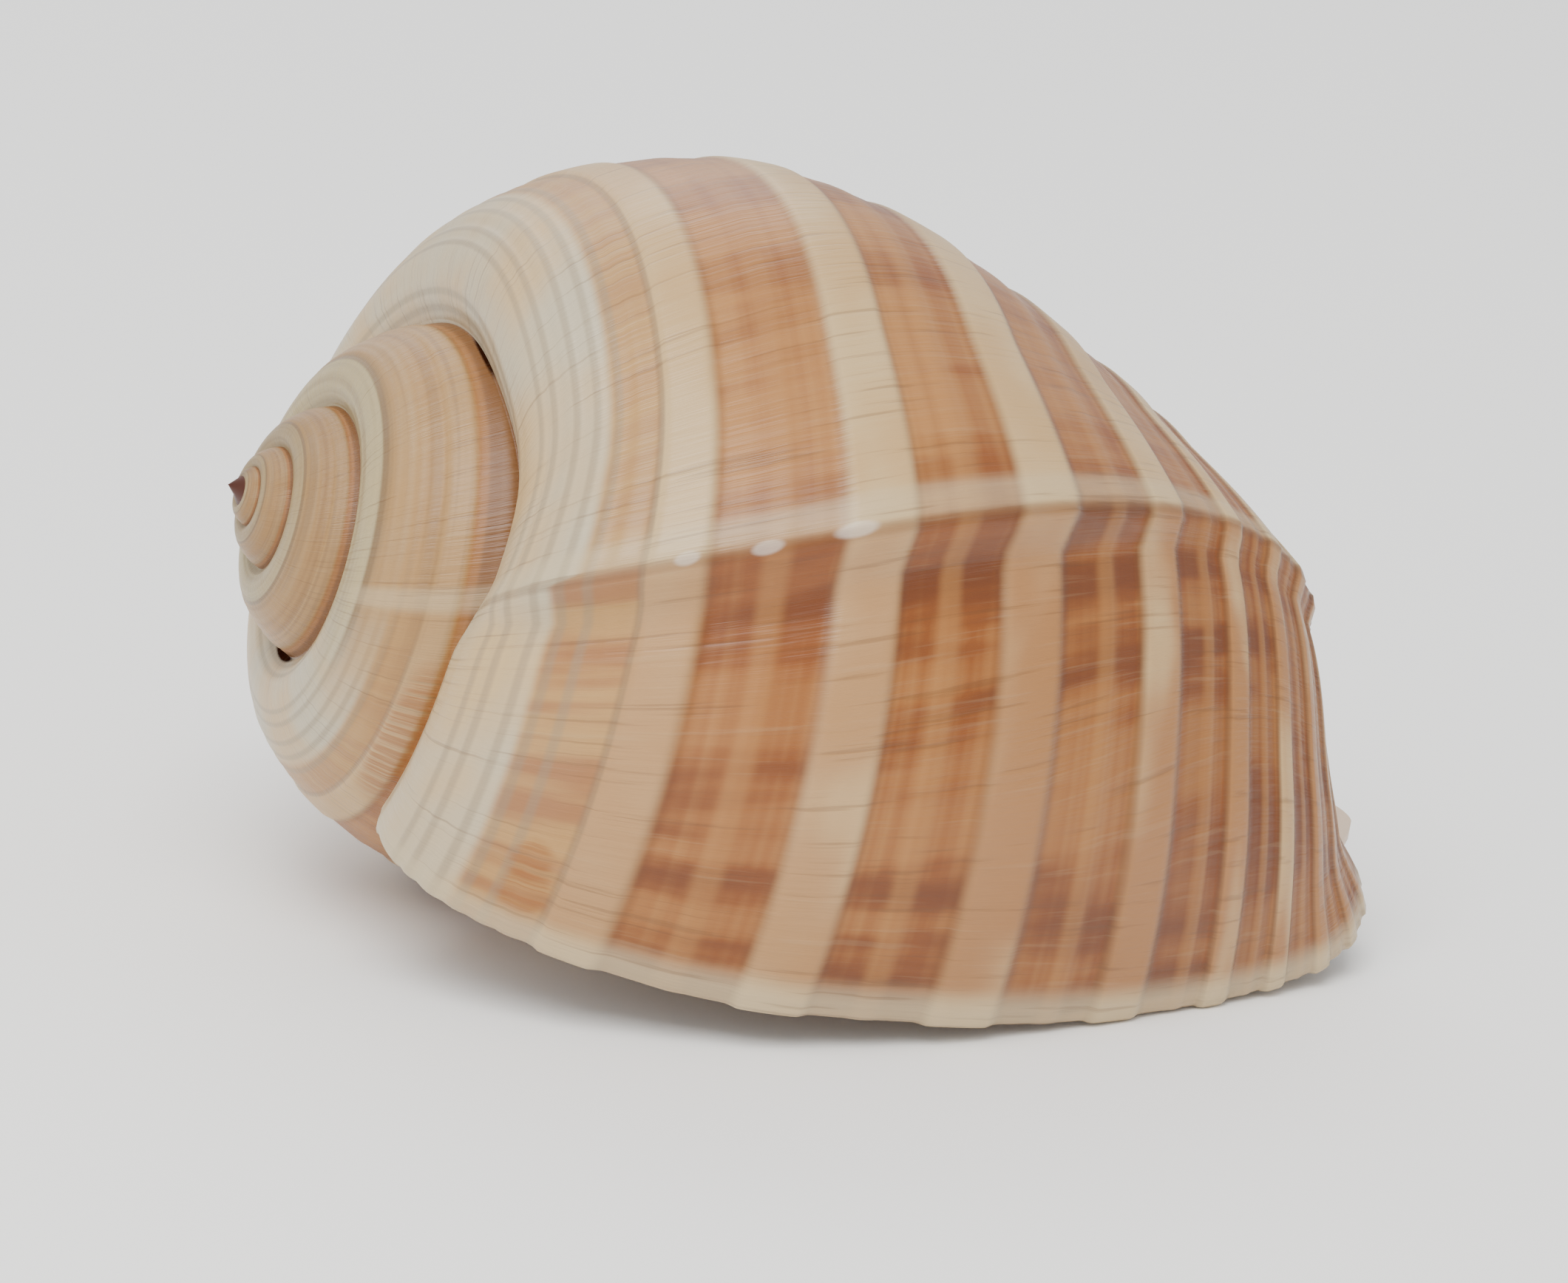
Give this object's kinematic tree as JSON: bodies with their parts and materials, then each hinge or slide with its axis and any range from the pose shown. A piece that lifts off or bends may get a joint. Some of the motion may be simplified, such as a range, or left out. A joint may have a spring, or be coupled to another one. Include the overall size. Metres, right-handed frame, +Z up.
{
  "type": "tun shell",
  "caption": "Large coiled sea snail shell with flat raised spiral cords, a short spire and a wide open mouth, lying on its mouth.",
  "frame": {"origin": "middle of the bounding box at table height, under the shell as it lies on its mouth", "axes": "+X along the shell from its spire to its front end, +Z up from the table"},
  "size_m": [0.1208, 0.0896, 0.0731],
  "materials": {
    "shell_wall": "satin"
  },
  "bodies": {
    "root": {"tun_shell": "shell_wall"}
  },
  "joints": []
}
